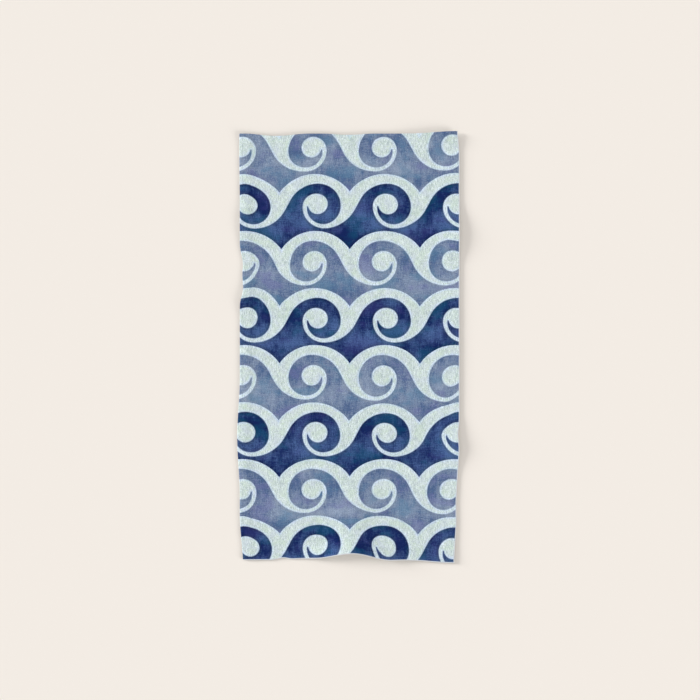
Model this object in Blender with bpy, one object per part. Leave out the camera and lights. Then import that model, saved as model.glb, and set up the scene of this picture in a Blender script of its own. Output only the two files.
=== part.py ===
"""A printed bath towel laid out on a surface, as one closed sheet of towelling.

Metres, +Z up. The cloth lies in the XY plane with its length along Y and its printed face up.
The underside is flat at Z = 0 where the cloth touches, and rises a little along its hems and at the
soft folds. The origin is under the middle of the sheet's box.
"""

import math
from collections import namedtuple

import bmesh
import bpy

# Driving sizes
clothWidth = 0.706
clothLength = 1.370
clothThickness = 0.003

# How far in from a hem its waviness dies away
hemReach = 0.240

# Places where a hem wanders from the straight cut. A positive push goes in towards the middle.
HemBend = namedtuple("HemBend", "hem middle spread push")
hemBends = (
    HemBend("left", 0.262, 0.070, 0.0100),
    HemBend("left", 0.190, 0.060, 0.0105),
    HemBend("left", -0.290, 0.190, -0.0085),
    HemBend("left", -0.700, 0.160, 0.0100),
    HemBend("left", 0.640, 0.200, -0.0015),
    HemBend("right", -0.518, 0.230, 0.0105),
    HemBend("right", -0.700, 0.160, 0.0155),
    HemBend("right", -0.280, 0.050, 0.0050),
    HemBend("right", 0.690, 0.090, 0.0060),
    HemBend("top", -0.234, 0.105, 0.0075),
    HemBend("top", -0.003, 0.085, 0.0042),
    HemBend("top", 0.350, 0.150, -0.0075),
    HemBend("bottom", -0.222, 0.040, 0.0050),
    HemBend("bottom", -0.090, 0.200, 0.0055),
    HemBend("bottom", 0.012, 0.125, 0.0200),
    HemBend("bottom", 0.350, 0.170, -0.0090),
)

# Low rolls along the hems, between a start and an end along the hem and a little past both.
# The crest lies this far in from the hem, and the roll reaches this far to each side of it.
rollFade = 0.080
HemRoll = namedtuple("HemRoll", "hem start end crest reach height")
hemRolls = (
    HemRoll("left", 0.300, 0.640, 0.023, 0.030, 0.0022),
    HemRoll("left", 0.390, 0.400, 0.000, 0.060, 0.0030),
    HemRoll("left", -0.400, 0.180, 0.023, 0.030, 0.0022),
    HemRoll("left", 0.150, 0.160, 0.000, 0.045, 0.0030),
    HemRoll("left", -0.640, -0.500, 0.023, 0.030, 0.0018),
    HemRoll("right", -0.640, 0.640, 0.000, 0.100, 0.0009),
    HemRoll("right", -0.360, 0.640, 0.000, 0.100, 0.0008),
    HemRoll("top", -0.320, 0.320, 0.000, 0.060, 0.0030),
    HemRoll("bottom", -0.320, 0.320, 0.000, 0.060, 0.0010),
    HemRoll("bottom", -0.080, 0.100, 0.000, 0.070, 0.0085),
)

# Soft folds that stand off the surface. Each has the shape of a cosine hill, level all round its rim.
# The angle turns its long axis from +X towards +Y.
Fold = namedtuple("Fold", "name x y angle halfLength halfWidth height")
folds = (
    Fold("bottomRidge", 0.002, -0.700, 88, 0.330, 0.105, 0.0120),
    Fold("bottomRise", 0.080, -0.715, 0, 0.260, 0.150, 0.0100),
    Fold("rightUpperLift", 0.372, 0.370, 90, 0.115, 0.150, 0.0084),
    Fold("rightLowerLift", 0.372, -0.305, 90, 0.100, 0.140, 0.0068),
    Fold("topRightLift", 0.241, 0.700, 0, 0.120, 0.080, 0.0030),
    Fold("topRightCorner", 0.330, 0.710, 10, 0.190, 0.100, 0.0035),
    Fold("bottomRightCorner", 0.370, -0.700, 135, 0.130, 0.130, 0.0015),
)

# Grid bands: from one place to the next across the cloth, and how many cells the stretch takes
Band = namedtuple("Band", "start end cells")
columnBands = (
    Band(-0.353, -0.297, 5),
    Band(-0.297, -0.100, 5),
    Band(-0.100, 0.110, 9),
    Band(0.110, 0.240, 4),
    Band(0.240, 0.353, 6),
)
rowBands = (
    Band(-0.685, -0.615, 5),
    Band(-0.615, -0.430, 8),
    Band(-0.430, -0.200, 10),
    Band(-0.200, 0.060, 6),
    Band(0.060, 0.500, 20),
    Band(0.500, 0.625, 3),
    Band(0.625, 0.685, 4),
)

# Look of the printed face
printColour = (0.20, 0.28, 0.44, 1.0)
printRoughness = 0.95
sharpAngle = 40  # degrees: the shading is smooth over the face and breaks only at the hem's edge


def hill(distance):
    """1 at the middle, level and 0 from a distance of 1 on."""
    if abs(distance) >= 1.0:
        return 0.0
    return math.cos(0.5 * math.pi * distance) ** 2


def hemPush(hem, along, inFromHem):
    """How far the cloth is drawn in from one hem, at a place along it and a distance in from it."""
    fade = hill(inFromHem / hemReach)
    if fade == 0.0:
        return 0.0
    bends = (row for row in hemBends if row.hem == hem)
    return fade * sum(row.push * hill((along - row.middle) / row.spread) for row in bends)


def laidPlace(across, along):
    """Where a point of the flat cut lies, seen from above."""
    halfWidth = 0.5 * clothWidth
    halfLength = 0.5 * clothLength
    x = across
    x += hemPush("left", along, across + halfWidth)
    x -= hemPush("right", along, halfWidth - across)
    y = along
    y += hemPush("bottom", across, along + halfLength)
    y -= hemPush("top", across, halfLength - along)
    return x, y


def hemRoll(hem, along, inFromHem):
    """How high the rolls of one hem lift the cloth there."""
    total = 0.0
    for row in hemRolls:
        if row.hem == hem:
            past = max(row.start - along, along - row.end, 0.0)
            total += row.height * hill(past / rollFade) * hill((inFromHem - row.crest) / row.reach)
    return total


def foldHeight(fold, x, y):
    turn = math.radians(fold.angle)
    alongFold = (x - fold.x) * math.cos(turn) + (y - fold.y) * math.sin(turn)
    acrossFold = (y - fold.y) * math.cos(turn) - (x - fold.x) * math.sin(turn)
    return fold.height * hill(alongFold / fold.halfLength) * hill(acrossFold / fold.halfWidth)


def liftAt(across, along):
    """Height of the underside over the surface, at a point of the flat cut."""
    halfWidth = 0.5 * clothWidth
    halfLength = 0.5 * clothLength
    x, y = laidPlace(across, along)
    lift = sum(foldHeight(fold, x, y) for fold in folds)
    lift += hemRoll("left", along, across + halfWidth)
    lift += hemRoll("right", along, halfWidth - across)
    lift += hemRoll("bottom", across, along + halfLength)
    lift += hemRoll("top", across, halfLength - along)
    return lift


def stations(bands):
    """The places of the grid lines, first to last."""
    places = [bands[0].start]
    for band in bands:
        step = (band.end - band.start) / band.cells
        places += [band.start + step * count for count in range(1, band.cells + 1)]
    return places


def addFace(mesh, corners):
    face = mesh.faces.new(corners)
    face.smooth = True


def towelMesh():
    """One closed sheet: an upper and a lower grid, joined round the hems."""
    columns = stations(columnBands)
    rows = stations(rowBands)
    places = [[laidPlace(across, along) for across in columns] for along in rows]
    flat = [place for line in places for place in line]
    middleX = 0.5 * (min(x for x, y in flat) + max(x for x, y in flat))
    middleY = 0.5 * (min(y for x, y in flat) + max(y for x, y in flat))

    mesh = bmesh.new()
    lower = []
    upper = []
    for along, line in zip(rows, places):
        lifts = [liftAt(across, along) for across in columns]
        spots = [(x - middleX, y - middleY, lift) for (x, y), lift in zip(line, lifts)]
        lower.append([mesh.verts.new(spot) for spot in spots])
        upper.append([mesh.verts.new((x, y, lift + clothThickness)) for x, y, lift in spots])

    lastRow = len(rows) - 1
    lastColumn = len(columns) - 1
    for row in range(lastRow):
        for column in range(lastColumn):
            right = column + 1
            above = row + 1
            addFace(
                mesh,
                (upper[row][column], upper[row][right], upper[above][right], upper[above][column]),
            )
            addFace(
                mesh,
                (lower[row][column], lower[above][column], lower[above][right], lower[row][right]),
            )

    rim = [(0, column) for column in range(lastColumn)]
    rim += [(row, lastColumn) for row in range(lastRow)]
    rim += [(lastRow, column) for column in range(lastColumn, 0, -1)]
    rim += [(row, 0) for row in range(lastRow, 0, -1)]
    for spot, (row, column) in enumerate(rim):
        nextRow, nextColumn = rim[(spot + 1) % len(rim)]
        addFace(
            mesh,
            (
                lower[row][column],
                lower[nextRow][nextColumn],
                upper[nextRow][nextColumn],
                upper[row][column],
            ),
        )
    bmesh.ops.triangulate(mesh, faces=mesh.faces[:])
    return mesh


def printedTowelling():
    material = bpy.data.materials.new("printedTowelling")
    material.use_nodes = True
    shader = material.node_tree.nodes["Principled BSDF"]
    shader.inputs["Base Color"].default_value = printColour
    shader.inputs["Roughness"].default_value = printRoughness
    shader.inputs["Metallic"].default_value = 0.0
    material.diffuse_color = printColour
    return material


def buildTowel():
    mesh = towelMesh()
    data = bpy.data.meshes.new("towel")
    mesh.to_mesh(data)
    mesh.free()
    data.materials.append(printedTowelling())
    data.set_sharp_from_angle(angle=math.radians(sharpAngle))
    towel = bpy.data.objects.new("towel", data)
    bpy.context.scene.collection.objects.link(towel)
    return towel


for leftOver in list(bpy.data.objects):
    bpy.data.objects.remove(leftOver, do_unlink=True)
buildTowel()
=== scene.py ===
import math
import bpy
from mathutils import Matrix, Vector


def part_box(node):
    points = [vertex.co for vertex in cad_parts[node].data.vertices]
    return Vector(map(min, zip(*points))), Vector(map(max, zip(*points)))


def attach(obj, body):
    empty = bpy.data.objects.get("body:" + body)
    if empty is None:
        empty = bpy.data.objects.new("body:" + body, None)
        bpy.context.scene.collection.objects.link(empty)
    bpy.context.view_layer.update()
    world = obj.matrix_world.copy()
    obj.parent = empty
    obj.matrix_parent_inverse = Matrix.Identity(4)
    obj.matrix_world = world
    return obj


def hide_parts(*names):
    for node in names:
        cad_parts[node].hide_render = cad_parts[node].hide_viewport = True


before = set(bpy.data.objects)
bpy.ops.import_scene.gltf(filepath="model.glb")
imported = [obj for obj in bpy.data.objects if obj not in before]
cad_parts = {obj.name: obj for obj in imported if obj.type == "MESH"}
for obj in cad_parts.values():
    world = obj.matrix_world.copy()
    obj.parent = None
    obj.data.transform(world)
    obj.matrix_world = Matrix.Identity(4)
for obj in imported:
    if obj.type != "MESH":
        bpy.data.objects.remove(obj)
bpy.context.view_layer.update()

from types import SimpleNamespace

import bpy
import numpy as np
from mathutils import Vector, noise

# Sizes are in metres. X runs across the towel, Y along it, and Z up out of the printed face.

# The towel: its flat cut, how its hems wander, and the soft folds that stand off the floor
towel = {
    "width": 0.706,
    "length": 1.370,
    "thickness": 0.003,
    "hemReach": 0.240,  # how far in the waviness of a hem dies away
    "hemBends": [  # hem, middle along it, spread, push towards the middle
        ("left", 0.262, 0.070, 0.0100),
        ("left", 0.190, 0.060, 0.0105),
        ("left", -0.290, 0.190, -0.0085),
        ("left", -0.700, 0.160, 0.0100),
        ("left", 0.640, 0.200, -0.0015),
        ("right", -0.518, 0.230, 0.0105),
        ("right", -0.700, 0.160, 0.0155),
        ("right", -0.280, 0.050, 0.0050),
        ("right", 0.690, 0.090, 0.0060),
        ("top", -0.234, 0.105, 0.0075),
        ("top", -0.003, 0.085, 0.0042),
        ("top", 0.350, 0.150, -0.0075),
        ("bottom", -0.222, 0.040, 0.0050),
        ("bottom", -0.090, 0.200, 0.0055),
        ("bottom", 0.012, 0.125, 0.0200),
        ("bottom", 0.350, 0.170, -0.0090),
    ],
    "eases": [  # middle across and along, reach across and along, shift right and up: slack inside the hems
        (-0.290, 0.500, 0.080, 0.090, 0.0000, -0.0060),
        (0.000, 0.460, 0.160, 0.130, 0.0000, 0.0045),
        (0.260, 0.330, 0.130, 0.100, 0.0000, 0.0060),
        (-0.290, 0.150, 0.110, 0.130, 0.0000, 0.0055),
        (0.290, -0.180, 0.380, 0.200, 0.0000, -0.0075),
        (-0.020, -0.170, 0.160, 0.090, 0.0000, -0.0030),
        (0.000, -0.400, 0.120, 0.090, 0.0000, 0.0035),
        (-0.290, -0.560, 0.120, 0.130, 0.0000, -0.0060),
        (-0.200, 0.325, 0.200, 0.110, 0.0055, 0.0000),
        (0.100, -0.250, 0.270, 0.130, -0.0038, 0.0000),
        (0.125, -0.595, 0.130, 0.125, -0.0095, 0.0000),
    ],
    "easeInset": 0.045,  # they die away this far in from the hems
    "rollFade": 0.080,  # how far past its ends a roll dies away
    "hemRolls": [  # hem, start and end along it, its crest in from the hem, reach to each side, height
        ("left", 0.300, 0.640, 0.023, 0.030, 0.0022),
        ("left", 0.390, 0.400, 0.000, 0.060, 0.0030),
        ("left", -0.400, 0.180, 0.023, 0.030, 0.0022),
        ("left", 0.150, 0.160, 0.000, 0.045, 0.0030),
        ("left", -0.640, -0.500, 0.023, 0.030, 0.0018),
        ("right", -0.640, 0.640, 0.000, 0.100, 0.0009),
        ("right", -0.360, 0.640, 0.000, 0.100, 0.0008),
        ("top", -0.320, 0.320, 0.000, 0.060, 0.0030),
        ("bottom", -0.320, 0.320, 0.000, 0.060, 0.0010),
        ("bottom", -0.080, 0.100, 0.000, 0.070, 0.0085),
    ],
    "folds": {  # x, y, angle from X towards Y, half length, half width, height
        "bottomRidge": (0.002, -0.700, 88, 0.330, 0.105, 0.0120),
        "bottomRise": (0.080, -0.715, 0, 0.260, 0.150, 0.0100),
        "rightUpperLift": (0.372, 0.370, 90, 0.115, 0.150, 0.0084),
        "rightLowerLift": (0.372, -0.305, 90, 0.100, 0.140, 0.0068),
        "topRightLift": (0.241, 0.700, 0, 0.120, 0.080, 0.0030),
        "topRightCorner": (0.330, 0.710, 10, 0.190, 0.100, 0.0035),
        "bottomRightCorner": (0.370, -0.700, 135, 0.130, 0.130, 0.0015),
    },
    "creases": {  # the same columns, pressed into or out of the printed face
        "bottomCrease": (-0.006, -0.560, 88, 0.110, 0.016, -0.0016),
        "upperWrinkle": (-0.022, 0.518, 125, 0.034, 0.012, -0.0016),
        "upperRidge": (-0.008, 0.530, 125, 0.040, 0.014, 0.0012),
        "leftWrinkle": (-0.214, 0.480, 70, 0.045, 0.014, -0.0012),
        "rightWrinkle": (0.285, 0.365, 18, 0.050, 0.013, 0.0014),
    },
    "waves": (0.110, 0.0006),  # pitch and height of the slow unevenness of the face
    "wavesSetIn": 0.020,  # how far in from the hem's seam they reach their full height
    "nap": (0.012, 0.00012),  # pitch and height of the tufty unevenness of the pile
    "noiseLayer": 10,  # times the pitch: gives each of the two a pattern of its own
    "hemWidth": 0.011,
    "hemRise": 0.0003,  # a turned hem has two layers
    "seamDepth": 0.0003,
    "seamOnBack": 0.4,  # share of that depth that shows on the back
    "seamWidth": 0.0022,
    "closeGrid": 1.4,  # hem widths that have the close grid lines
    "edgeCells": 9,  # grid cells from the cut's edge to there
    "midColumns": 134,  # grid cells between them, across and along
    "midRows": 272,
    "rimSteps": 4,  # bands of the rounded edge, from face to back
    "rimWrap": 0.0012,  # how far the print runs on over the rounded edge at each step
}


def hill(distance):  # 1 in the middle, level and 0 from a distance of 1 on
    return np.cos(0.5 * math.pi * np.clip(np.abs(distance), 0.0, 1.0)) ** 2


def hemDistance(across, along):  # in from the nearest hem of the flat cut
    return np.minimum(0.5 * towel["width"] - np.abs(across), 0.5 * towel["length"] - np.abs(along))


def hemPush(hem, along, inFromHem):  # how far a hem draws the cloth in
    total = np.zeros_like(along)
    for name, middle, spread, push in towel["hemBends"]:
        if name == hem:
            total += push * hill((along - middle) / spread)
    return total * hill(inFromHem / towel["hemReach"])


def laidPlaces(across, along):  # where points of the flat cut lie, seen from above
    halfWidth = 0.5 * towel["width"]
    halfLength = 0.5 * towel["length"]
    x = across + hemPush("left", along, across + halfWidth) - hemPush("right", along, halfWidth - across)
    y = along + hemPush("bottom", across, along + halfLength) - hemPush("top", across, halfLength - along)
    slack = 1.0 - hill(hemDistance(across, along) / towel["easeInset"])
    for middleX, middleY, reachX, reachY, shiftX, shiftY in towel["eases"]:
        share = slack * hill((across - middleX) / reachX) * hill((along - middleY) / reachY)
        x += share * shiftX
        y += share * shiftY
    return x, y


def hemRoll(hem, along, inFromHem):  # how high the rolls of a hem lift the cloth
    total = np.zeros_like(along)
    for name, start, end, crest, reach, height in towel["hemRolls"]:
        if name == hem:
            fade = hill(np.maximum(start - along, along - end).clip(0.0) / towel["rollFade"])
            total += height * fade * hill((inFromHem - crest) / reach)
    return total


def reliefOf(rows, x, y):  # long soft hills, added up
    total = np.zeros_like(x)
    for middleX, middleY, angle, halfLength, halfWidth, height in rows.values():
        turn = math.radians(angle)
        alongIt = (x - middleX) * math.cos(turn) + (y - middleY) * math.sin(turn)
        acrossIt = (y - middleY) * math.cos(turn) - (x - middleX) * math.sin(turn)
        total += height * hill(alongIt / halfLength) * hill(acrossIt / halfWidth)
    return total


def liftAt(across, along, x, y):  # the back over the floor
    halfWidth = 0.5 * towel["width"]
    halfLength = 0.5 * towel["length"]
    rolls = hemRoll("left", along, across + halfWidth) + hemRoll("right", along, halfWidth - across)
    rolls += hemRoll("bottom", across, along + halfLength) + hemRoll("top", across, halfLength - along)
    return rolls + reliefOf(towel["folds"], x, y)


def unevenness(x, y, pitch, height):  # smooth, and the same on each run
    layer = towel["noiseLayer"] * pitch
    places = zip(x.flat, y.flat)
    spots = [noise.noise(Vector((across / pitch, along / pitch, layer))) for across, along in places]
    return height * np.array(spots).reshape(x.shape)


def stations(size, cells):  # grid lines, close together along the hems
    inset = 0.5 * towel["thickness"]
    closeEnd = towel["closeGrid"] * towel["hemWidth"]
    nearHem = np.linspace(inset, closeEnd, towel["edgeCells"] + 1)[:-1]
    middle = np.linspace(closeEnd, size - closeEnd, cells + 1)
    return np.concatenate([nearHem, middle, (size - nearHem)[::-1]]) - 0.5 * size


def faceHeights(across, along, x, y):  # the printed face over the floor
    inside = hemDistance(across, along)
    pastSeam = inside - towel["hemWidth"]
    hem = towel["hemRise"] * hill(inside / (2 * towel["hemWidth"]))
    seam = towel["seamDepth"] * hill(pastSeam / towel["seamWidth"])
    setIn = np.clip(pastSeam / towel["wavesSetIn"], 0.0, 1.0)
    wavy = setIn * unevenness(x, y, *towel["waves"]) + unevenness(x, y, *towel["nap"])
    lift = liftAt(across, along, x, y) + reliefOf(towel["creases"], x, y)
    return lift + towel["thickness"] + hem - seam + wavy


def backHeights(across, along, x, y):  # the plain back over the floor, with the fine line of the seam
    seam = hill((hemDistance(across, along) - towel["hemWidth"]) / towel["seamWidth"])
    return liftAt(across, along, x, y) + towel["seamOnBack"] * towel["seamDepth"] * seam


def boxShift(x, y):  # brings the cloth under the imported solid's own middle
    low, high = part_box("towel")
    return 0.5 * (low[0] + high[0] - x.min() - x.max()), 0.5 * (low[1] + high[1] - y.min() - y.max())


def rimOrder(rows, columns):  # row and column of each spot round the grid, counter-clockwise from above
    spots = [(0, column) for column in range(columns - 1)]
    spots += [(row, columns - 1) for row in range(rows - 1)]
    spots += [(rows - 1, column) for column in range(columns - 1, 0, -1)]
    spots += [(row, 0) for row in range(rows - 1, 0, -1)]
    return np.array(spots)


def outwardOnRim(order, rows, columns):  # which way out of the cloth is, at each spot round the grid
    outward = np.zeros((len(order), 2))
    outward[order[:, 1] == 0] += (-1, 0)
    outward[order[:, 1] == columns - 1] += (1, 0)
    outward[order[:, 0] == 0] += (0, -1)
    outward[order[:, 0] == rows - 1] += (0, 1)
    return outward / np.linalg.norm(outward, axis=1)[:, None]


def gridQuads(rows, columns):  # corners of the grid's cells, counter-clockwise from above
    cells = np.arange(rows * columns).reshape(rows, columns)
    corners = [cells[:-1, :-1], cells[:-1, 1:], cells[1:, 1:], cells[1:, :-1]]
    return np.stack(corners, 2).reshape(-1, 4)


def rimQuads(rim, size):  # the rounded edge, from the printed face down to the back
    rings = [rim]
    for step in range(towel["rimSteps"] - 1):
        rings.append(2 * size + step * len(rim) + np.arange(len(rim)))
    rings.append(rim + size)
    bands = []
    for upper, lower in zip(rings, rings[1:]):
        bands.append(np.stack([lower, np.roll(lower, -1), np.roll(upper, -1), upper], 1))
    return bands


# Where the two sides of the cloth lie on the square that their looks are baked into
bakeLayout = {
    "spare": 0.006,  # room for the rounded edge, in metres of cloth
    "face": ((0.88, 0.98), (0.01, 0.01)),  # size and lower left corner
    "back": ((0.08, 0.98), (0.91, 0.01)),  # a plain strip beside it
}


def bakeSpots(flat, side):
    spare = bakeLayout["spare"]
    share = (flat + spare) / (np.array([towel["width"], towel["length"]]) + 2 * spare)
    size, corner = bakeLayout[side]
    return share * size + corner


def addMap(data, name, corners):
    layer = data.uv_layers.new(name=name)
    layer.uv.foreach_set("vector", corners.astype(np.float32).ravel())


def makeCloth():
    columns = stations(towel["width"], towel["midColumns"])
    rows = stations(towel["length"], towel["midRows"])
    across, along = np.meshgrid(columns, rows)
    x, y = laidPlaces(across, along)
    shift = boxShift(x, y)
    face = np.stack([x, y, faceHeights(across, along, x, y)], 2).reshape(-1, 3)
    back = np.stack([x, y, backHeights(across, along, x, y)], 2).reshape(-1, 3)
    flat = np.stack([across + 0.5 * towel["width"], along + 0.5 * towel["length"]], 2).reshape(-1, 2)

    order = rimOrder(len(rows), len(columns))
    rim = order[:, 0] * len(columns) + order[:, 1]
    outward = outwardOnRim(order, len(rows), len(columns))
    half = 0.5 * (face[rim, 2] - back[rim, 2])
    points = [face, back]
    flats = [flat, flat]
    for step in range(1, towel["rimSteps"]):
        turn = math.pi * (step / towel["rimSteps"] - 0.5)
        ring = face[rim]
        ring[:, :2] += outward * (0.5 * towel["thickness"] * math.cos(turn))
        ring[:, 2] = back[rim, 2] + half * (1 - math.sin(turn))
        points.append(ring)
        flats.append(flat[rim] + outward * (towel["rimWrap"] * step))
    points = np.concatenate(points)
    points[:, 0] += shift[0]
    points[:, 1] += shift[1]

    quads = gridQuads(len(rows), len(columns))
    faces = np.concatenate([quads, quads[:, ::-1] + len(face)] + rimQuads(rim, len(face)))
    data = bpy.data.meshes.new("towelCloth")
    data.from_pydata(points.tolist(), [], faces.tolist())
    data.shade_smooth()

    # Finishes: 0 the printed face and the upper half of its edge, 1 the back, 2 the lower half of the edge,
    # darkened with painted shade
    onBack = np.zeros(len(faces), bool)
    onBack[len(quads):2 * len(quads)] = True
    paintedShadeOnRim = np.arange(len(faces)) >= 2 * len(quads) + towel["rimSteps"] // 2 * len(rim)
    data.polygons.foreach_set("material_index", (onBack + 2 * paintedShadeOnRim).astype(np.int32))
    corners = np.concatenate(flats)[faces.ravel()]
    addMap(data, "clothFlat", corners)
    cornerOnBack = np.repeat(onBack, 4)[:, None]
    addMap(data, "OFBake", np.where(cornerOnBack, bakeSpots(corners, "back"), bakeSpots(corners, "face")))
    data.uv_layers.active = data.uv_layers["clothFlat"]
    data.uv_layers["clothFlat"].active_render = True
    piece = bpy.data.objects.new("towelCloth", data)
    bpy.context.scene.collection.objects.link(piece)
    return piece, shift


# The seam that holds the turned hems down: one run of small stitches a little inside each hem
stitching = {
    "fromEdge": 0.0100,
    "pitch": 0.0036,
    "length": 0.0027,
    "radius": 0.00040,
    "sides": 6,
    "rings": (-1.0, -0.86, -0.4, 0.4, 0.86, 1.0),  # along a stitch, from end to end
    "swell": (0.05, 0.62, 1.0, 1.0, 0.62, 0.05),  # share of the radius at each of them
    "sag": 0.5,  # how far the ends sink in, as a share of the radius
}


def seamLine():  # middles and directions of the stitches on the flat cut
    halfWidth = 0.5 * towel["width"] - stitching["fromEdge"]
    halfLength = 0.5 * towel["length"] - stitching["fromEdge"]
    corners = [
        (-halfWidth, -halfLength),
        (halfWidth, -halfLength),
        (halfWidth, halfLength),
        (-halfWidth, halfLength),
    ]
    spots = []
    for here, there in zip(corners, corners[1:] + corners[:1]):
        here = np.array(here)
        run = np.array(there) - here
        reach = np.linalg.norm(run)
        count = round(reach / stitching["pitch"])
        for number in range(count):
            spots.append((here + run * (number + 0.5) / count, run / reach))
    return spots


def seamEnds(middle, way, shift):  # where both ends of each stitch lie on the printed face
    ends = []
    for half in (-0.5, 0.5):
        flat = middle + way * (half * stitching["length"])
        x, y = laidPlaces(flat[:, 0], flat[:, 1])
        z = faceHeights(flat[:, 0], flat[:, 1], x, y)
        ends.append(np.stack([x + shift[0], y + shift[1], z], 1))
    return ends


def stitchFaces(rings, sides):  # one stitch as a closed tube
    faces = []
    for ring in range(rings - 1):
        low = ring * sides
        high = low + sides
        for spot in range(sides):
            beside = (spot + 1) % sides
            faces.append([high + spot, high + beside, low + beside, low + spot])
    faces.append(list(range(sides)))
    faces.append([high + spot for spot in reversed(range(sides))])
    return faces


def makeStitches(shift):
    spots = seamLine()
    middle = np.array([spot for spot, way in spots])
    way = np.array([way for spot, way in spots])
    start, end = seamEnds(middle, way, shift)
    axis = (end - start) * 0.5
    centre = (end + start) * 0.5
    unit = axis / np.linalg.norm(axis, axis=1)[:, None]
    side = np.cross(unit, (0.0, 0.0, 1.0))
    side /= np.linalg.norm(side, axis=1)[:, None]
    up = np.cross(side, unit)

    sides = stitching["sides"]
    turns = np.arange(sides) * 2 * math.pi / sides
    points = []
    for station, swell in zip(stitching["rings"], stitching["swell"]):
        sag = -stitching["sag"] * stitching["radius"] * station * station
        for turn in turns:
            out = side * math.cos(turn) + up * math.sin(turn)
            points.append(centre + axis * station + out * (swell * stitching["radius"]) + up * sag)
    points = np.stack(points, 1)
    pointCount = points.shape[1]
    shape = stitchFaces(len(stitching["rings"]), sides)
    faces = []
    for number in range(len(spots)):
        faces += [[number * pointCount + corner for corner in face] for face in shape]
    data = bpy.data.meshes.new("hemStitches")
    data.from_pydata(points.reshape(-1, 3).tolist(), [], faces)
    data.shade_smooth()
    flats = np.repeat(middle + (0.5 * towel["width"], 0.5 * towel["length"]), pointCount, axis=0)
    order = np.empty(len(data.loops), np.int32)
    data.loops.foreach_get("vertex_index", order)
    addMap(data, "clothFlat", flats[order])
    piece = bpy.data.objects.new("hemStitches", data)
    bpy.context.scene.collection.objects.link(piece)
    return piece


noiseMiddle = 0.5  # noises and streaks run from 0 to 1, round this


# Small helpers for node trees
def feed(tree, value, socket):
    if isinstance(value, bpy.types.NodeSocket):
        tree.links.new(value, socket)
    else:
        socket.default_value = value


def calc(tree, operation, *values):
    node = tree.nodes.new("ShaderNodeMath")
    node.operation = operation
    for value, socket in zip(values, node.inputs):
        feed(tree, value, socket)
    return node.outputs[0]


def opposite(tree, value):
    return calc(tree, "MULTIPLY", value, -1.0)


def together(tree, first, firstTimes, second, secondTimes):  # each is multiplied, then they are added up
    return calc(tree, "MULTIPLY_ADD", second, secondTimes, calc(tree, "MULTIPLY", first, firstTimes))


def choose(tree, share, first, second):  # first where share is 0, second where it is 1
    return calc(tree, "MULTIPLY_ADD", calc(tree, "SUBTRACT", second, first), share, first)


def blend(tree, share, first, second, way="MIX"):
    node = tree.nodes.new("ShaderNodeMix")
    node.data_type = "RGBA"
    node.blend_type = way
    for value, label in ((share, "Factor_Float"), (first, "A_Color"), (second, "B_Color")):
        feed(tree, value, next(socket for socket in node.inputs if socket.identifier == label))
    return next(socket for socket in node.outputs if socket.identifier == "Result_Color")


def remap(tree, value, low, high, lowest=0.0, highest=1.0):
    node = tree.nodes.new("ShaderNodeMapRange")
    node.interpolation_type = "SMOOTHSTEP"
    for given, socket in zip((value, low, high, lowest, highest), node.inputs):
        feed(tree, given, socket)
    return node.outputs[0]


def mottle(tree, place, scale=1.0, detail=2.0, roughness=0.5):
    node = tree.nodes.new("ShaderNodeTexNoise")
    node.noise_dimensions = "2D"
    feed(tree, place, node.inputs["Vector"])
    feed(tree, scale, node.inputs["Scale"])
    feed(tree, detail, node.inputs["Detail"])
    feed(tree, roughness, node.inputs["Roughness"])
    return node.outputs[0]


def vectorCalc(tree, operation, *values):
    node = tree.nodes.new("ShaderNodeVectorMath")
    node.operation = operation
    for value, socket in zip(values, node.inputs):
        feed(tree, value, socket)
    return node.outputs[0]


def stretched(tree, place, timesAcross, timesAlong):
    times = tree.nodes.new("ShaderNodeCombineXYZ")
    feed(tree, timesAcross, times.inputs[0])
    feed(tree, timesAlong, times.inputs[1])
    return vectorCalc(tree, "MULTIPLY", place, times.outputs[0])


def newGroup(name, inputs, outputs):
    tree = bpy.data.node_groups.new(name, "ShaderNodeTree")
    for label, kind, value in inputs:
        socket = tree.interface.new_socket(label, in_out="INPUT", socket_type=kind)
        if value is not None:
            socket.default_value = value
    for label, kind in outputs:
        tree.interface.new_socket(label, in_out="OUTPUT", socket_type=kind)
    return tree, tree.nodes.new("NodeGroupInput").outputs, tree.nodes.new("NodeGroupOutput").inputs


def placeGroup(tree, group, **values):
    node = tree.nodes.new("ShaderNodeGroup")
    node.node_tree = group
    for label, value in values.items():
        feed(tree, value, node.inputs[label])
    return node.outputs


def onScreen(red, green, blue):  # a colour as sRGB screens show it, where 255 is full
    shares = [level / 255 for level in (red, green, blue)]
    linear = [level / 12.92 if level <= 0.04045 else ((level + 0.055) / 1.055) ** 2.4 for level in shares]
    return (*linear, 1.0)


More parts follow.
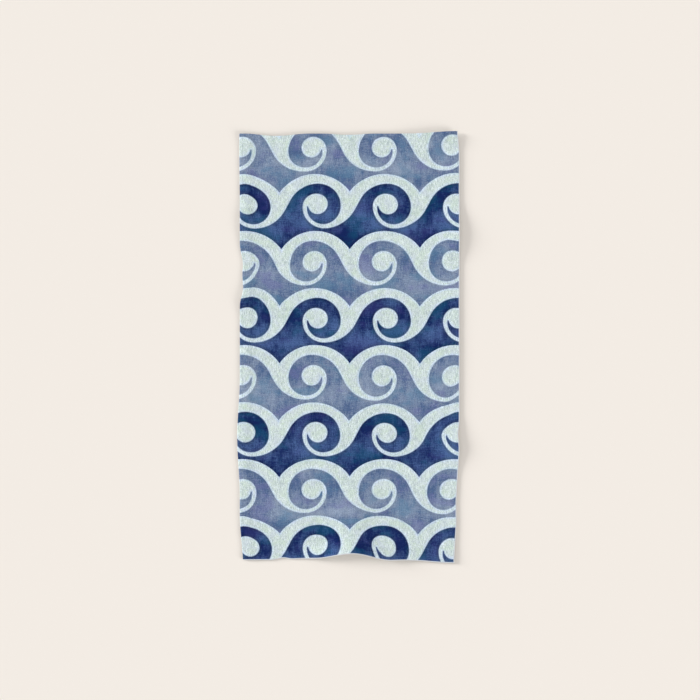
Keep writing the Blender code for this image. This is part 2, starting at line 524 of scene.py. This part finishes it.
# The printed wave scroll, drawn with a compass: every edge is an arc, or a straight line between two arcs.
# Places in a motif are measured from the top of its scallop, with the wave rolling over to the right.
waveScroll = {
    "columnPitch": 0.2255,
    "rowPitch": 0.1831,
    "scallopSpot": 0.1127,  # a scallop's top, across from the towel's middle
    "darkRowTop": 0.5550,  # the scallops of a dark row, along from the towel's middle
    "scallopRadius": 0.1376,
    "bandWidth": 0.0311,  # pale cloth over the crest
    "crestRadius": 0.0748,  # the front of the crest
    "backRadius": 0.0989,  # and its wider back
    "crestSide": 0.0093,  # the crest's middle lies this far right of the scallop's top
    "curlRadius": 0.0559,  # the outside of the curl under the crest
    "cupRadius": 0.0687,  # the pale hollow that the curl lies in
    "swellRadius": 0.1140,  # and its wider far side, out to the next crest
    "neckWidth": 0.0106,  # pale gap between the wave's body and its curl
    "eyeRadius": 0.0315,  # the pale round in the curl
    "eyeSide": 0.0010,  # its middle lies this far right of the crest's, and this far over it
    "eyeRise": 0.0080,
    "taperTurn": 245,  # where the curl starts to taper, in degrees round its middle
    "tipTurn": 162,  # and where it would meet the eye
    "tipSide": 0.5,  # its tip is only what lies further left of the eye's middle than this, in eye radii
    "tipRise": 0.0020,  # and is cut short this far over the level line through the crest's middle
    "motifStart": -0.1296,  # left end of one motif, from the scallop's top
    "edgeSoftness": 0.0016,
}


def spotOn(centre, radius, turn):  # a spot on a circle
    return centre[0] + radius * math.cos(turn), centre[1] + radius * math.sin(turn)


def compassPoints():  # the centres of the arcs, and where they touch
    wave = waveScroll
    points = SimpleNamespace()
    points.axis = -wave["bandWidth"] - wave["crestRadius"]  # the level line through the crest's middle
    points.crest = (wave["crestSide"], points.axis)
    points.curl = (wave["crestSide"] + wave["crestRadius"] - wave["curlRadius"], points.axis)
    cupLeft = points.curl[0] - wave["curlRadius"] - wave["neckWidth"]
    points.cup = (cupLeft + wave["cupRadius"], points.axis)
    points.swell = (points.cup[0], points.axis - wave["cupRadius"] + wave["swellRadius"])
    points.eye = (wave["crestSide"] + wave["eyeSide"], points.axis + wave["eyeRise"])

    # The cap touches the eye from outside: its centre is on the axis, and it starts where the cup does
    lean = points.eye[0] - cupLeft
    points.capRadius = lean ** 2 + wave["eyeRise"] ** 2 - wave["eyeRadius"] ** 2
    points.capRadius /= 2 * (lean - wave["eyeRadius"])
    points.cap = (cupLeft + points.capRadius, points.axis)

    # The taper touches the curl from inside and runs out to a point on the eye
    points.taperTurn = math.radians(wave["taperTurn"])
    tip = spotOn(points.eye, wave["eyeRadius"], math.radians(wave["tipTurn"]))
    tipX = tip[0] - points.curl[0]
    tipY = tip[1] - points.curl[1]
    alongTurn = tipX * math.cos(points.taperTurn) + tipY * math.sin(points.taperTurn)
    inwards = wave["curlRadius"] ** 2 - tipX ** 2 - tipY ** 2
    inwards /= 2 * (wave["curlRadius"] - alongTurn)
    points.taper = spotOn(points.curl, inwards, points.taperTurn)
    points.taperRadius = wave["curlRadius"] - inwards

    # The straight rise between the last motif's swell and the back of this crest
    points.shoulder = (points.crest[0], -wave["bandWidth"] - wave["backRadius"])
    points.behind = (points.swell[0] - wave["columnPitch"], points.swell[1])
    span = math.dist(points.shoulder, points.behind)
    bothRadii = wave["swellRadius"] + wave["backRadius"]
    points.riseTurn = math.atan2(points.shoulder[1] - points.behind[1], points.shoulder[0] - points.behind[0])
    points.riseTurn -= math.acos(bothRadii / span)
    points.foot = spotOn(points.behind, wave["swellRadius"], points.riseTurn)
    points.riseLength = math.sqrt(span ** 2 - bothRadii ** 2)
    return points


def awayFrom(tree, x, y, spot):  # how far across and up from a spot
    return calc(tree, "SUBTRACT", x, spot[0]), calc(tree, "SUBTRACT", y, spot[1])


def circleEdge(tree, x, y, centre, radius):  # distance to a circle, below 0 inside it
    acrossIt, upIt = awayFrom(tree, x, y, centre)
    squares = together(tree, acrossIt, acrossIt, upIt, upIt)
    return calc(tree, "SUBTRACT", calc(tree, "SQRT", squares), radius)


def scrollEdge(tree, x, y, points):  # distance to the edge of a motif, below 0 in its ink
    wave = waveScroll
    curlEdge = circleEdge(tree, x, y, points.curl, wave["curlRadius"])
    outOfEye = opposite(tree, circleEdge(tree, x, y, points.eye, wave["eyeRadius"]))
    frontEdge = circleEdge(tree, x, y, points.crest, wave["crestRadius"])
    shoulderEdge = circleEdge(tree, x, y, points.shoulder, wave["backRadius"])
    crestEdge = choose(tree, calc(tree, "GREATER_THAN", x, points.crest[0]), shoulderEdge, frontEdge)

    # The back of the wave: out of the last motif's swell, up the straight rise and over the shoulder
    behindEdge = opposite(tree, circleEdge(tree, x, y, points.behind, wave["swellRadius"]))
    fromFootX, fromFootY = awayFrom(tree, x, y, points.foot)
    sine = math.sin(points.riseTurn)
    cosine = math.cos(points.riseTurn)
    upRise = together(tree, fromFootX, -sine, fromFootY, cosine)
    leftOfRise = together(tree, fromFootX, -cosine, fromFootY, -sine)
    lowBack = choose(tree, calc(tree, "GREATER_THAN", upRise, 0.0), behindEdge, leftOfRise)
    highBack = choose(tree, calc(tree, "GREATER_THAN", upRise, points.riseLength), lowBack, crestEdge)

    # Past the point where cap and eye touch, the eye alone is the edge
    gap = math.dist(points.eye, points.cap)
    leanX = (points.eye[1] - points.cap[1]) / gap
    leanY = (points.cap[0] - points.eye[0]) / gap
    fromCapX, fromCapY = awayFrom(tree, x, y, points.cap)
    pastTouch = together(tree, fromCapY, leanY, fromCapX, leanX)
    inCap = calc(tree, "MAXIMUM", circleEdge(tree, x, y, points.cap, points.capRadius), pastTouch)
    outOfPale = calc(tree, "MAXIMUM", outOfEye, opposite(tree, inCap))

    # Over the level line: the crest round the eye, and the tip of the curl
    inTaper = calc(tree, "MAXIMUM", circleEdge(tree, x, y, points.taper, points.taperRadius), outOfEye)
    tipRight = points.eye[0] - wave["tipSide"] * wave["eyeRadius"]
    inTip = calc(tree, "MAXIMUM", inTaper, calc(tree, "SUBTRACT", x, tipRight))
    inTip = calc(tree, "MAXIMUM", inTip, calc(tree, "SUBTRACT", y, points.axis + wave["tipRise"]))
    upper = calc(tree, "MINIMUM", calc(tree, "MAXIMUM", highBack, outOfPale), inTip)

    # Under it: the curl with its taper, and the body of the wave
    fromCurlX, fromCurlY = awayFrom(tree, x, y, points.curl)
    sine = math.sin(points.taperTurn)
    cosine = math.cos(points.taperTurn)
    beforeTaper = together(tree, fromCurlX, -sine, fromCurlY, cosine)
    wholeCurl = calc(tree, "MAXIMUM", curlEdge, outOfEye)
    inCurl = choose(tree, calc(tree, "GREATER_THAN", beforeTaper, 0.0), inTaper, wholeCurl)
    cupEdge = circleEdge(tree, x, y, points.cup, wave["cupRadius"])
    swellEdge = circleEdge(tree, x, y, points.swell, wave["swellRadius"])
    pastCup = choose(tree, calc(tree, "GREATER_THAN", x, points.cup[0]), cupEdge, swellEdge)
    body = calc(tree, "MAXIMUM", opposite(tree, pastCup), lowBack)
    lower = calc(tree, "MINIMUM", inCurl, body)
    return choose(tree, calc(tree, "GREATER_THAN", y, points.axis), lower, upper)


def scrollGroup():
    wave = waveScroll
    tree, given, put = newGroup(
        "waveScroll",
        [("place", "NodeSocketVector", None), ("edgeSoftness", "NodeSocketFloat", wave["edgeSoftness"])],
        [(label, "NodeSocketFloat") for label in ("coloured", "darkRow", "toEdge", "lowInRow")],
    )
    apart = tree.nodes.new("ShaderNodeSeparateXYZ")
    feed(tree, given["place"], apart.inputs[0])
    fromScallop = calc(tree, "SUBTRACT", apart.outputs[0], 0.5 * towel["width"] + wave["scallopSpot"])
    fromTop = calc(tree, "SUBTRACT", apart.outputs[1], 0.5 * towel["length"] + wave["darkRowTop"])

    # Which row: each begins at its own line of scallops, and none comes before the light row at the top hem
    halfPitch = 0.5 * wave["columnPitch"]
    besideTop = calc(tree, "WRAP", fromScallop, halfPitch, -halfPitch)
    chord = calc(tree, "MULTIPLY_ADD", opposite(tree, besideTop), besideTop, wave["scallopRadius"] ** 2)
    drop = calc(tree, "SUBTRACT", wave["scallopRadius"], calc(tree, "SQRT", chord))
    depth = calc(tree, "MULTIPLY", calc(tree, "ADD", fromTop, drop), -1.0 / wave["rowPitch"])
    row = calc(tree, "MAXIMUM", calc(tree, "FLOOR", depth), -1.0)
    y = calc(tree, "MULTIPLY_ADD", row, wave["rowPitch"], fromTop)
    lightRow = calc(tree, "FLOORED_MODULO", row, 2.0)
    hand = calc(tree, "MULTIPLY_ADD", lightRow, -2.0, 1.0)
    motifEnd = wave["motifStart"] + wave["columnPitch"]
    x = calc(tree, "WRAP", calc(tree, "MULTIPLY", fromScallop, hand), motifEnd, wave["motifStart"])
    edge = scrollEdge(tree, x, y, compassPoints())

    # The next row's scallops end this row's colour, and this row's own scallops end its pale cloth
    nextCentre = (0.0, -wave["rowPitch"] - wave["scallopRadius"])
    ownCentre = (0.0, -wave["scallopRadius"])
    pastNext = opposite(tree, circleEdge(tree, besideTop, y, nextCentre, wave["scallopRadius"]))
    pastOwn = opposite(tree, circleEdge(tree, besideTop, y, ownCentre, wave["scallopRadius"]))
    toEdge = calc(tree, "MINIMUM", calc(tree, "MAXIMUM", edge, pastNext), pastOwn)

    softness = given["edgeSoftness"]
    feed(tree, remap(tree, edge, opposite(tree, softness), softness, 1.0, 0.0), put["coloured"])
    feed(tree, calc(tree, "SUBTRACT", 1.0, lightRow), put["darkRow"])
    feed(tree, toEdge, put["toEdge"])
    feed(tree, calc(tree, "MULTIPLY", y, -1.0 / wave["rowPitch"]), put["lowInRow"])
    return tree


# The fine crossed streaks of a linen look: how many lie side by side and end to end in a metre
linenLook = {
    "threads": 360.0,
    "runs": 75.0,
    "wideThreads": 280.0,  # the wider streaks of the inks
    "wideRuns": 30.0,
    "detail": 1.0,
}


def linenGroup():  # streaks upright and level, and small flecks
    tree, given, put = newGroup(
        "linenGrain",
        [
            ("place", "NodeSocketVector", None),
            ("threads", "NodeSocketFloat", linenLook["threads"]),
            ("runs", "NodeSocketFloat", linenLook["runs"]),
        ],
        [("upright", "NodeSocketFloat"), ("level", "NodeSocketFloat"), ("fleck", "NodeSocketFloat")],
    )
    uprightPlace = stretched(tree, given["place"], given["threads"], given["runs"])
    levelPlace = stretched(tree, given["place"], given["runs"], given["threads"])
    upright = mottle(tree, uprightPlace, detail=linenLook["detail"])
    level = mottle(tree, levelPlace, detail=linenLook["detail"])
    fleck = mottle(tree, given["place"], given["threads"], linenLook["detail"])
    feed(tree, upright, put["upright"])
    feed(tree, level, put["level"])
    feed(tree, fleck, put["fleck"])
    return tree


# The looped pile. The pairs for roughness and shade are for the hollows between tufts, then for the tufts.
pileLook = {
    "loopSize": 0.0017,
    "unevenness": 0.6,  # of a slower noise that is added to the height of the tufts
    "unevenScale": 110.0,
    "shadeHeights": (0.25, 0.95),  # heights of a tuft that count as hollow and as top
    "bumpStrength": 0.7,
    "roughness": (0.98, 0.86),
    "specular": 0.13,
    "sheenRoughness": 0.6,
    "faceDepth": 0.0006,
    "faceSheen": 0.05,
    "faceShade": (0.93, 1.04),
    "backDepth": 0.0009,
    "backSheen": 0.2,
    "backShade": (0.88, 1.03),
    "backLight": 1.0,
    "edgePaintedShade": 0.2,  # painted shade: the share of its colour that the lower half of the edge keeps, as if in its own shade
}


def pileGroup():  # close round tufts with a slower unevenness
    tree, given, put = newGroup(
        "towelPile",
        [
            ("place", "NodeSocketVector", None),
            ("loopSize", "NodeSocketFloat", pileLook["loopSize"]),
            ("unevenness", "NodeSocketFloat", pileLook["unevenness"]),
        ],
        [("height", "NodeSocketFloat"), ("shade", "NodeSocketFloat")],
    )
    loops = tree.nodes.new("ShaderNodeTexVoronoi")
    loops.voronoi_dimensions = "2D"
    loops.feature = "SMOOTH_F1"
    feed(tree, given["place"], loops.inputs["Vector"])
    feed(tree, calc(tree, "DIVIDE", 1.0, given["loopSize"]), loops.inputs["Scale"])
    tufts = calc(tree, "SUBTRACT", 1.0, loops.outputs["Distance"])
    slow = mottle(tree, given["place"], pileLook["unevenScale"])
    feed(tree, calc(tree, "MULTIPLY_ADD", slow, given["unevenness"], tufts), put["height"])
    feed(tree, remap(tree, tufts, *pileLook["shadeHeights"]), put["shade"])
    return tree


def towellingMaterial(name, sheen):
    material = bpy.data.materials.new(name)
    material.use_nodes = True
    tree = material.node_tree
    shader = tree.nodes["Principled BSDF"]
    shader.inputs["Specular IOR Level"].default_value = pileLook["specular"]
    shader.inputs["Sheen Weight"].default_value = sheen
    shader.inputs["Sheen Roughness"].default_value = pileLook["sheenRoughness"]
    flat = tree.nodes.new("ShaderNodeUVMap")
    flat.uv_map = "clothFlat"
    return material, tree, shader, flat.outputs[0]


def pileFinish(tree, shader, place, groups, depth):
    pile = placeGroup(tree, groups["pile"], place=place)
    bump = tree.nodes.new("ShaderNodeBump")
    bump.inputs["Strength"].default_value = pileLook["bumpStrength"]
    bump.inputs["Distance"].default_value = depth
    feed(tree, pile["height"], bump.inputs["Height"])
    feed(tree, bump.outputs[0], shader.inputs["Normal"])
    feed(tree, remap(tree, pile["shade"], 0.0, 1.0, *pileLook["roughness"]), shader.inputs["Roughness"])
    return pile


# Screen colours, where 255 is full. Each ink and the pale cloth run from a deep to a misty tone.
faceColours = {
    "darkDeep": (0, 28, 88),
    "darkMisty": (72, 100, 151),
    "teal": (0, 78, 114),
    "violet": (60, 60, 128),
    "lightDeep": (74, 98, 139),
    "lightMisty": (143, 158, 182),
    "steel": (86, 126, 159),
    "lilac": (111, 114, 166),
    "paleDeep": (174, 190, 192),
    "paleMisty": (234, 246, 245),
    "paleGreen": (202, 220, 202),
    "paleMint": (202, 222, 202),
    "paleBlue": (206, 216, 232),
    "hemThread": (216, 220, 226),
    "halo": (249, 255, 277),  # multiplies the pale cloth that the ink has bled into, so it may pass 255
    "rim": (255, 233, 166),  # multiplies the ink that it has left
}

# Two values of the noise or the streaks that carry each tint, and its share at the one and at the other
tints = {
    "teal": (0.50, 0.70, 0.0, 0.5),
    "violet": (0.30, 0.48, 0.3, 0.0),
    "steel": (0.50, 0.72, 0.0, 0.6),
    "lilac": (0.30, 0.46, 0.45, 0.0),
    "paleGreen": (0.50, 0.80, 0.0, 0.8),
    "paleMint": (0.52, 0.72, 0.0, 0.35),
    "paleBlue": (0.28, 0.48, 0.35, 0.0),
}

# How the print takes. A tone is 0 for deep and 1 for misty, and a swing is how far a pattern moves it.
printLook = {
    "noises": {  # scale across and along the towel, detail, roughness
        "cloud": (11.0, 11.0, 3.0, 0.55),
        "drift": (9.0, 14.0, 3.0, 0.6),
        "mist": (52.0, 22.0, 2.0, 0.5),
        "hue": (30.0, 30.0, 2.0, 0.5),
        "specks": (330.0, 330.0, 1.0, 0.5),
        "backCloud": (34.0, 34.0, 3.0, 0.6),
    },
    "rise": (0.55, 0.80),  # how far down a row its ink starts to turn mistier, and has turned
    "ebb": (0.90, 1.12),  # how far down it starts to turn back, and has
    "rowTone": (0.38, 0.20),  # the tone at the crests of the light rows, then of the dark ones
    "rowMist": (0.28, 0.42),  # how much mistier both turn
    "rowCloud": (1.6, 2.1),  # and how far the clouds swing them
    "mistSwing": 0.9,
    "weaveSwings": {"upright": 0.5, "level": 0.5},
    "linenSwings": {"upright": 0.6, "level": 0.5, "fleck": 0.8},
    "speckSwing": 1.0,  # of the ink's brightness
    "paleTone": 0.5,
    "paleSwings": (2.0, 1.7, 0.7),  # of the flecks, the upright streaks and the slow noise
    "creepScale": 420.0,  # of the noise by which the ink creeps along the loops
    "creepReach": 0.0016,
    "rimStart": (-0.0105, -0.0045),  # from the print's edge, below 0 in the ink: where its rim sets in
    "rimEnd": (-0.0050, 0.0),  # and ends
    "rimShare": (0.13, 0.38),  # how much of the rim's colour the light rows take, and the dark ones
    "bleed": (0.0010, 0.0095),  # how far over the edge the halo starts to fade, and ends
    "bleedShare": 0.75,
    "bareHem": (0.0020, 0.0036),  # how far in from the right and bottom hems the print starts
    "backThread": 0.5,  # share of the hem thread's colour in the plain back
}


def colourOf(name):
    return onScreen(*faceColours[name])


def slowNoise(tree, place, name):
    across, along, detail, roughness = printLook["noises"][name]
    return mottle(tree, stretched(tree, place, across, along), detail=detail, roughness=roughness)


def toneOf(tree, middle, *swings):  # a middle tone and how far each pattern swings it to either side
    tone = middle
    for pattern, swing in swings:
        tone = calc(tree, "MULTIPLY_ADD", calc(tree, "SUBTRACT", pattern, noiseMiddle), swing, tone)
    return tone


def tinted(tree, pattern, colour, tint):
    return blend(tree, remap(tree, pattern, *tints[tint]), colour, colourOf(tint))


def creptPlace(tree, place):  # ink creeps a little along the loops, so the print's edges aren't razor sharp
    creep = tree.nodes.new("ShaderNodeTexNoise")
    creep.noise_dimensions = "2D"
    feed(tree, place, creep.inputs["Vector"])
    feed(tree, printLook["creepScale"], creep.inputs["Scale"])
    aside = vectorCalc(tree, "SUBTRACT", creep.outputs["Color"], (noiseMiddle,) * 3)
    reach = printLook["creepReach"]
    return vectorCalc(tree, "MULTIPLY_ADD", aside, (reach, reach, 0.0), place)


def paleCloth(tree, linen, slow):  # pale cloth with a fine upright grain, a little greener here and there
    patterns = (linen["fleck"], linen["upright"], slow)
    tone = toneOf(tree, printLook["paleTone"], *zip(patterns, printLook["paleSwings"]))
    pale = blend(tree, tone, colourOf("paleDeep"), colourOf("paleMisty"))
    return tinted(tree, linen["level"], pale, "paleGreen")


def paleColour(tree, place, scroll, linen, mist):
    hue = slowNoise(tree, place, "hue")
    pale = tinted(tree, hue, paleCloth(tree, linen, mist), "paleMint")
    pale = tinted(tree, hue, pale, "paleBlue")
    bled = remap(tree, scroll["toEdge"], *printLook["bleed"], printLook["bleedShare"], 0.0)
    return blend(tree, bled, pale, colourOf("halo"), "MULTIPLY")


def inkTone(tree, place, scroll, linen, weave, mist):  # deep at the crests and at the foot of a row
    risen = remap(tree, scroll["lowInRow"], *printLook["rise"])
    ebbed = remap(tree, scroll["lowInRow"], *printLook["ebb"])
    mistier = choose(tree, scroll["darkRow"], *printLook["rowMist"])
    deepest = choose(tree, scroll["darkRow"], *printLook["rowTone"])
    middle = calc(tree, "MULTIPLY_ADD", calc(tree, "SUBTRACT", risen, ebbed), mistier, deepest)
    clouded = choose(tree, scroll["darkRow"], *printLook["rowCloud"])
    tone = toneOf(tree, middle, (slowNoise(tree, place, "cloud"), clouded), (mist, printLook["mistSwing"]))
    for streaks, swings in ((weave, printLook["weaveSwings"]), (linen, printLook["linenSwings"])):
        tone = toneOf(tree, tone, *[(streaks[name], swing) for name, swing in swings.items()])
    return tone


def inkColour(tree, place, scroll, tone):
    drift = slowNoise(tree, place, "drift")
    dark = blend(tree, tone, colourOf("darkDeep"), colourOf("darkMisty"))
    dark = tinted(tree, drift, dark, "teal")
    dark = tinted(tree, drift, dark, "violet")
    light = blend(tree, tone, colourOf("lightDeep"), colourOf("lightMisty"))
    light = tinted(tree, drift, light, "steel")
    light = tinted(tree, drift, light, "lilac")
    ink = blend(tree, scroll["darkRow"], light, dark)
    specks = toneOf(tree, 1.0, (slowNoise(tree, place, "specks"), printLook["speckSwing"]))
    ink = blend(tree, 1.0, ink, specks, "MULTIPLY")
    fullShare = choose(tree, scroll["darkRow"], *printLook["rimShare"])
    setIn = remap(tree, scroll["toEdge"], *printLook["rimStart"], 0.0, fullShare)
    thinned = calc(tree, "MULTIPLY", setIn, remap(tree, scroll["toEdge"], *printLook["rimEnd"], 1.0, 0.0))
    return blend(tree, thinned, ink, colourOf("rim"), "MULTIPLY")


def printedFace(groups):
    material, tree, shader, place = towellingMaterial("printedFace", pileLook["faceSheen"])
    pile = pileFinish(tree, shader, place, groups, pileLook["faceDepth"])
    wide = {"threads": linenLook["wideThreads"], "runs": linenLook["wideRuns"]}
    linen = placeGroup(tree, groups["linen"], place=place)
    weave = placeGroup(tree, groups["linen"], place=place, **wide)
    scroll = placeGroup(tree, groups["scroll"], place=creptPlace(tree, place))
    mist = slowNoise(tree, place, "mist")
    ink = inkColour(tree, place, scroll, inkTone(tree, place, scroll, linen, weave, mist))
    pale = paleColour(tree, place, scroll, linen, mist)
    colour = blend(tree, scroll["coloured"], pale, ink)

    # The ink stops short of the very edge of the right and bottom hems
    apart = tree.nodes.new("ShaderNodeSeparateXYZ")
    feed(tree, place, apart.inputs[0])
    fromRight = calc(tree, "SUBTRACT", towel["width"], apart.outputs[0])
    inside = calc(tree, "MINIMUM", apart.outputs[1], fromRight)
    bare = remap(tree, inside, *printLook["bareHem"], 1.0, 0.0)
    colour = blend(tree, bare, colour, colourOf("hemThread"))
    shade = remap(tree, pile["shade"], 0.0, 1.0, *pileLook["faceShade"])
    feed(tree, blend(tree, 1.0, colour, shade, "MULTIPLY"), shader.inputs["Base Color"])
    return material


def plainBack(groups, name, light):  # light is the share of its colour that this part of the cloth keeps; below 1 it is painted shade
    material, tree, shader, place = towellingMaterial(name, pileLook["backSheen"])
    pile = pileFinish(tree, shader, place, groups, pileLook["backDepth"])
    linen = placeGroup(tree, groups["linen"], place=place)
    plain = paleCloth(tree, linen, slowNoise(tree, place, "backCloud"))
    colour = blend(tree, printLook["backThread"], plain, colourOf("hemThread"))
    hollow, tuft = pileLook["backShade"]
    shade = remap(tree, pile["shade"], 0.0, 1.0, hollow * light, tuft * light)
    feed(tree, blend(tree, 1.0, colour, shade, "MULTIPLY"), shader.inputs["Base Color"])
    return material


# The studio: a pale floor, a low soft light from the left, a weak one from the lower right and an even fill
studio = {
    "floorColour": (243, 236, 228),
    "floorSize": 14.0,
    "floorDrop": 0.0004,  # it lies this far under the cloth, so the two don't touch
    "floorRoughness": 0.9,
    "floorSpecular": 0.1,
    "lights": {  # turn from X towards Y, rise and spread in degrees, share of the light on the open floor
        "softKey": (163.5, 13, 17, 0.28),
        "weakFill": (-31, 14, 17, 0.14),
    },
    "lampDistance": 3,
    "cameraHeight": 5.0,
    "cameraLens": 80.0,
    "cameraAim": (0.0051, -0.0094),
}


def makeFloor():
    half = 0.5 * studio["floorSize"]
    corners = ((-half, -half), (half, -half), (half, half), (-half, half))
    data = bpy.data.meshes.new("floor")
    data.from_pydata([(*corner, -studio["floorDrop"]) for corner in corners], [], [(0, 1, 2, 3)])
    floor = bpy.data.objects.new("floor", data)
    bpy.context.scene.collection.objects.link(floor)
    material = bpy.data.materials.new("paleFloor")
    material.use_nodes = True
    shader = material.node_tree.nodes["Principled BSDF"]
    shader.inputs["Base Color"].default_value = onScreen(*studio["floorColour"])
    shader.inputs["Roughness"].default_value = studio["floorRoughness"]
    shader.inputs["Specular IOR Level"].default_value = studio["floorSpecular"]
    data.materials.append(material)


def makeLights():
    even = 1.0
    for name, (turn, rise, spread, share) in studio["lights"].items():
        turn = math.radians(turn)
        rise = math.radians(rise)
        towards = Vector((math.cos(turn) * math.cos(rise), math.sin(turn) * math.cos(rise), math.sin(rise)))
        light = bpy.data.lights.new(name, "SUN")
        light.angle = math.radians(spread)
        light.energy = share * math.pi / math.sin(rise)
        lamp = bpy.data.objects.new(name, light)
        lamp.location = studio["lampDistance"] * towards
        lamp.rotation_mode = "QUATERNION"
        lamp.rotation_quaternion = towards.to_track_quat("Z", "Y")
        bpy.context.scene.collection.objects.link(lamp)
        even -= share
    world = bpy.data.worlds.new("studioFill")
    world.use_nodes = True
    world.node_tree.nodes["Background"].inputs["Strength"].default_value = even
    world.node_tree.nodes["Background"].inputs["Color"].default_value = (1.0, 1.0, 1.0, 1.0)
    bpy.context.scene.world = world


def makeCamera():
    lens = bpy.data.cameras.new("overhead")
    lens.lens = studio["cameraLens"]
    camera = bpy.data.objects.new("overhead", lens)
    camera.location = (*studio["cameraAim"], studio["cameraHeight"])
    bpy.context.scene.collection.objects.link(camera)
    bpy.context.scene.camera = camera
    bpy.context.scene.view_settings.view_transform = "Standard"


makeCamera()
makeLights()
makeFloor()
print("studio set")

groups = {"scroll": scrollGroup(), "linen": linenGroup(), "pile": pileGroup()}
face = printedFace(groups)
back = plainBack(groups, "plainBack", pileLook["backLight"])
# the lower half of the cloth's edge: the plain back's colour darkened as painted shade
edge = plainBack(groups, "hemEdgePaintedShade", pileLook["edgePaintedShade"])
print("finishes mixed")

cloth, clothShift = makeCloth()
for finish in (face, back, edge):
    cloth.data.materials.append(finish)
stitches = makeStitches(clothShift)
stitches.data.materials.append(face)
print("towel cut, hemmed and laid out")

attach(cloth, "root")
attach(stitches, "root")
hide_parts("towel")
